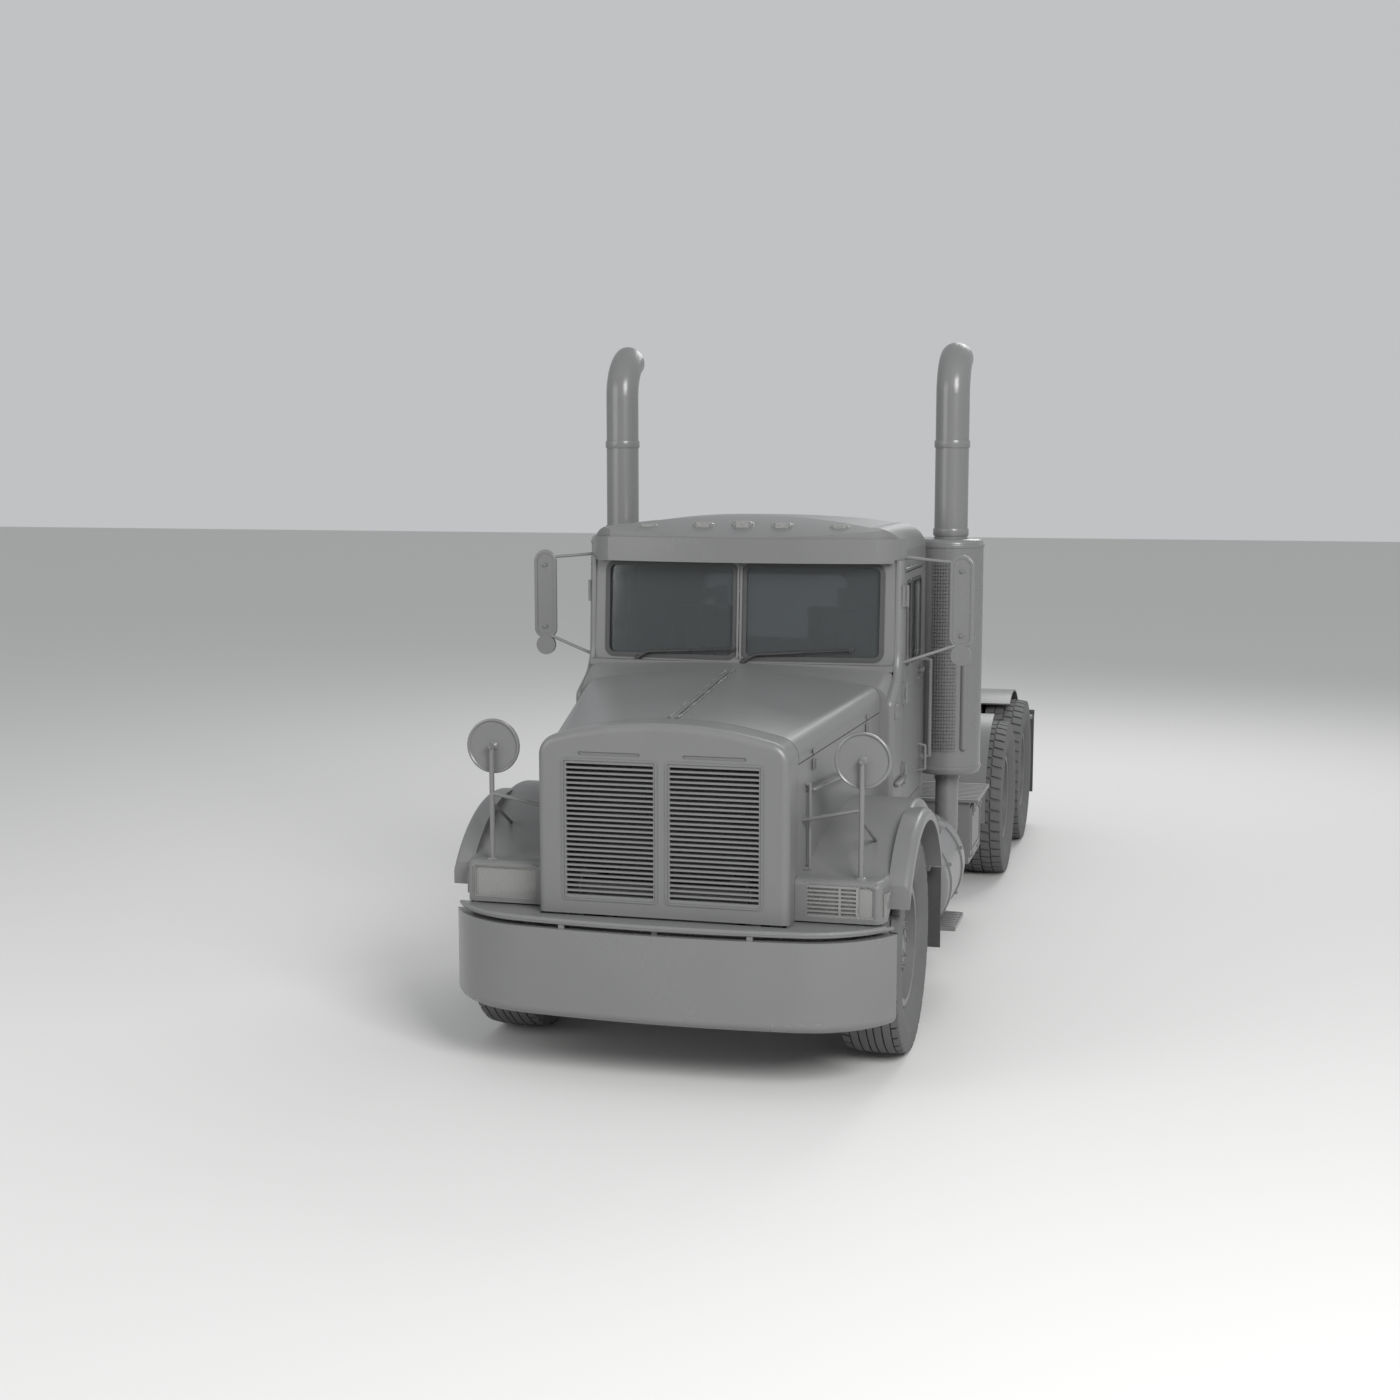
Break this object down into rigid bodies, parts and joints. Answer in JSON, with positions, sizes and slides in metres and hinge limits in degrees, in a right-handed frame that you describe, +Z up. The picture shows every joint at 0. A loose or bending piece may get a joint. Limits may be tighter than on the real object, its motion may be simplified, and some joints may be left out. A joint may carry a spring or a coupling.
{
  "type": "semi truck tractor unit",
  "caption": "Conventional semi truck tractor with a long hood, split windscreen, twin exhaust stacks, bow bumper and a tandem drive with a fifth wheel for hauling trailers",
  "frame": {"origin": "on the ground under the middle of the bounding box", "axes": "X forward, Y left, Z up"},
  "size_m": [7.8, 2.606, 3.791],
  "materials": {
    "painted_metal": "satin grey paint",
    "glass": "tinted glass",
    "matte_plastic": "matt",
    "cast_iron": "painted iron, satin",
    "gloss_plastic": "gloss lens",
    "rubber": "matt rubber",
    "fabric": "woven cloth",
    "tyre": "matt rubber"
  },
  "bodies": {
    "chassis": {"bumper_deck": "painted_metal", "cab_cowl": "painted_metal", "cab_floor": "painted_metal", "cab_glass": "glass", "cab_mirrors": "painted_metal", "cab_rear_wall": "painted_metal", "cab_roof": "painted_metal", "cab_sides": "painted_metal", "dashboard": "matte_plastic", "deck_plate": "painted_metal", "drive_axles": "cast_iron", "drive_shafts": "cast_iron", "engine_block": "cast_iron", "exhaust_pipes": "painted_metal", "fender_mirrors": "painted_metal", "fifth_wheel_stand": "cast_iron", "frame_crossmembers": "cast_iron", "frame_rails": "cast_iron", "front_axle": "cast_iron", "front_bumper": "painted_metal", "front_fenders": "painted_metal", "fuel_tanks": "painted_metal", "grille_bars": "painted_metal", "grille_shell": "painted_metal", "headlamps": "gloss_plastic", "hood_fixed_panels": "painted_metal", "marker_lamps": "gloss_plastic", "mud_flaps": "rubber", "mufflers": "painted_metal", "radiator": "cast_iron", "rear_guards": "painted_metal", "seats": "fabric", "side_boxes": "painted_metal", "springs_and_beams": "cast_iron", "steering_wheel": "matte_plastic", "sun_visor": "painted_metal"},
    "hood_left": {"hood_left": "painted_metal"},
    "hood_right": {"hood_right": "painted_metal"},
    "door_left": {"door_left": "painted_metal", "door_glass_left": "glass"},
    "door_right": {"door_right": "painted_metal", "door_glass_right": "glass"},
    "knuckle_left": {"knuckle_left": "cast_iron"},
    "knuckle_right": {"knuckle_right": "cast_iron"},
    "tie_rod": {"tie_rod": "cast_iron"},
    "fifth_wheel": {"fifth_wheel_plate": "cast_iron"},
    "wheel_front_left": {"tyre_front_left": "tyre", "wheel_front_left": "painted_metal"},
    "wheel_drive_1_left": {"tyre_drive_1_left": "tyre", "wheel_drive_1_left": "painted_metal"},
    "wheel_drive_2_left": {"tyre_drive_2_left": "tyre", "wheel_drive_2_left": "painted_metal"},
    "wheel_front_right": {"tyre_front_right": "tyre", "wheel_front_right": "painted_metal"},
    "wheel_drive_1_right": {"tyre_drive_1_right": "tyre", "wheel_drive_1_right": "painted_metal"},
    "wheel_drive_2_right": {"tyre_drive_2_right": "tyre", "wheel_drive_2_right": "painted_metal"}
  },
  "joints": [
    {"name": "steer_left", "type": "hinge", "parent": "chassis", "child": "knuckle_left", "pos_m": [2.9, 0.85, 0.5675], "axis": [0, 0, 1], "range_deg": [-35, 35]},
    {"name": "front_wheel_left", "type": "hinge", "parent": "knuckle_left", "child": "wheel_front_left", "pos_m": [2.9, 0.985, 0.5675], "axis": [0, 1, 0], "continuous": true},
    {"name": "drive_1_wheel_left", "type": "hinge", "parent": "chassis", "child": "wheel_drive_1_left", "pos_m": [-1.694, 0.84, 0.5675], "axis": [0, 1, 0], "continuous": true},
    {"name": "drive_2_wheel_left", "type": "hinge", "parent": "chassis", "child": "wheel_drive_2_left", "pos_m": [-3.014, 0.84, 0.5675], "axis": [0, 1, 0], "continuous": true},
    {"name": "door_hinge_left", "type": "hinge", "parent": "chassis", "child": "door_left", "pos_m": [1.95, 0.934, 1.8], "axis": [0, 0, -1], "range_deg": [0, 70]},
    {"name": "hood_hinge_left", "type": "hinge", "parent": "chassis", "child": "hood_left", "pos_m": [2.91, 0.023, 1.8665], "axis": [0.9952, 0, -0.0974], "range_deg": [0, 75]},
    {"name": "steer_right", "type": "hinge", "parent": "chassis", "child": "knuckle_right", "pos_m": [2.9, -0.85, 0.5675], "axis": [0, 0, 1], "range_deg": [-35, 35]},
    {"name": "front_wheel_right", "type": "hinge", "parent": "knuckle_right", "child": "wheel_front_right", "pos_m": [2.9, -0.985, 0.5675], "axis": [0, 1, 0], "continuous": true},
    {"name": "drive_1_wheel_right", "type": "hinge", "parent": "chassis", "child": "wheel_drive_1_right", "pos_m": [-1.694, -0.84, 0.5675], "axis": [0, 1, 0], "continuous": true},
    {"name": "drive_2_wheel_right", "type": "hinge", "parent": "chassis", "child": "wheel_drive_2_right", "pos_m": [-3.014, -0.84, 0.5675], "axis": [0, 1, 0], "continuous": true},
    {"name": "door_hinge_right", "type": "hinge", "parent": "chassis", "child": "door_right", "pos_m": [1.95, -0.934, 1.8], "axis": [0, 0, 1], "range_deg": [0, 70]},
    {"name": "hood_hinge_right", "type": "hinge", "parent": "chassis", "child": "hood_right", "pos_m": [2.91, -0.023, 1.8665], "axis": [-0.9952, 0, 0.0974], "range_deg": [0, 75]},
    {"name": "tie_rod_pivot", "type": "hinge", "parent": "knuckle_left", "child": "tie_rod", "pos_m": [2.69, 0.85, 0.4965], "axis": [0, 0, 1], "range_deg": [-35, 35]},
    {"name": "fifth_wheel_tilt", "type": "hinge", "parent": "chassis", "child": "fifth_wheel", "pos_m": [-2.25, 0, 1.13], "axis": [0, 1, 0], "range_deg": [-12, 12]}
  ],
  "couplings": [
    {"joint": "steer_right", "follows": "steer_left", "ratio": 1},
    {"joint": "tie_rod_pivot", "follows": "steer_left", "ratio": -1}
  ]
}
